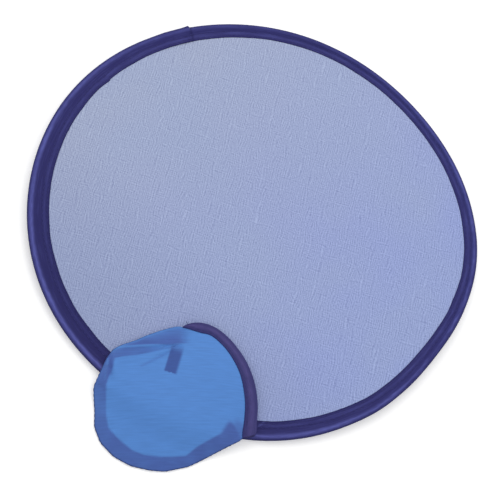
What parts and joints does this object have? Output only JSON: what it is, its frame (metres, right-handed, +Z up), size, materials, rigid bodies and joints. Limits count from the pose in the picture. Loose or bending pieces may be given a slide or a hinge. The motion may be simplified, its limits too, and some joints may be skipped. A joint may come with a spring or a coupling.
{
  "type": "folding fabric flying disc with storage pouch",
  "caption": "Flat round fabric flying disc on a sprung hoop that folds across its middle, lying with the round open-mouthed fabric pouch that it is carried in.",
  "frame": {"origin": "middle of the object's outline seen from above, at the level of the ground that it lies on", "axes": "+Z up out of the disc, +Y from the pouch towards the disc's free edge, +X to the right seen with the pouch near"},
  "size_m": [0.2447, 0.2763, 0.0124],
  "materials": {
    "disc_cloth": "plain-weave pale blue nylon",
    "disc_tape": "dark blue knitted binding tape",
    "thread": "blue sewing thread",
    "spring_steel": "bright flat spring steel",
    "sleeve_metal": "crimped steel sleeve",
    "pouch_cloth": "thin mid blue nylon",
    "pouch_tape": "dark blue woven binding tape",
    "pouch_thread": "dark blue sewing thread"
  },
  "bodies": {
    "disc_front": {"membrane_front": "disc_cloth", "edge_binding_front": "disc_tape", "spring_band_front": "spring_steel", "inner_seam_front": "thread", "channel_seam_front": "thread"},
    "disc_rear": {"membrane_rear": "disc_cloth", "edge_binding_rear": "disc_tape", "spring_band_rear": "spring_steel", "splice_sleeve": "sleeve_metal", "inner_seam_rear": "thread", "channel_seam_rear": "thread"},
    "pouch": {"pouch_back_panel": "pouch_cloth", "pouch_front_panel": "pouch_cloth", "back_mouth_binding": "pouch_tape", "back_mouth_seam": "pouch_thread", "side_seam": "pouch_thread", "tape_tail": "pouch_tape"},
    "pouch_lip": {"front_panel_lip": "pouch_cloth", "front_mouth_binding": "pouch_tape", "front_mouth_seam": "pouch_thread", "thread_tail": "pouch_thread"}
  },
  "joints": [
    {"name": "disc_fold", "type": "hinge", "parent": "disc_front", "child": "disc_rear", "pos_m": [0, 0.01533, 0.00826], "axis": [1, 0, 0], "range_deg": [0, 150], "stiffness_Nm_per_rad": 0.1},
    {"name": "pouch_lift", "type": "slide", "parent": "disc_front", "child": "pouch", "axis": [0.1535, -0.9271, 0.342], "range_m": [0, 0.095]},
    {"name": "mouth_open", "type": "hinge", "parent": "pouch", "child": "pouch_lip", "pos_m": [0.01573, -0.07967, 0.01129], "axis": [0.766, -0.6428, 0], "range_deg": [0, 60]}
  ]
}
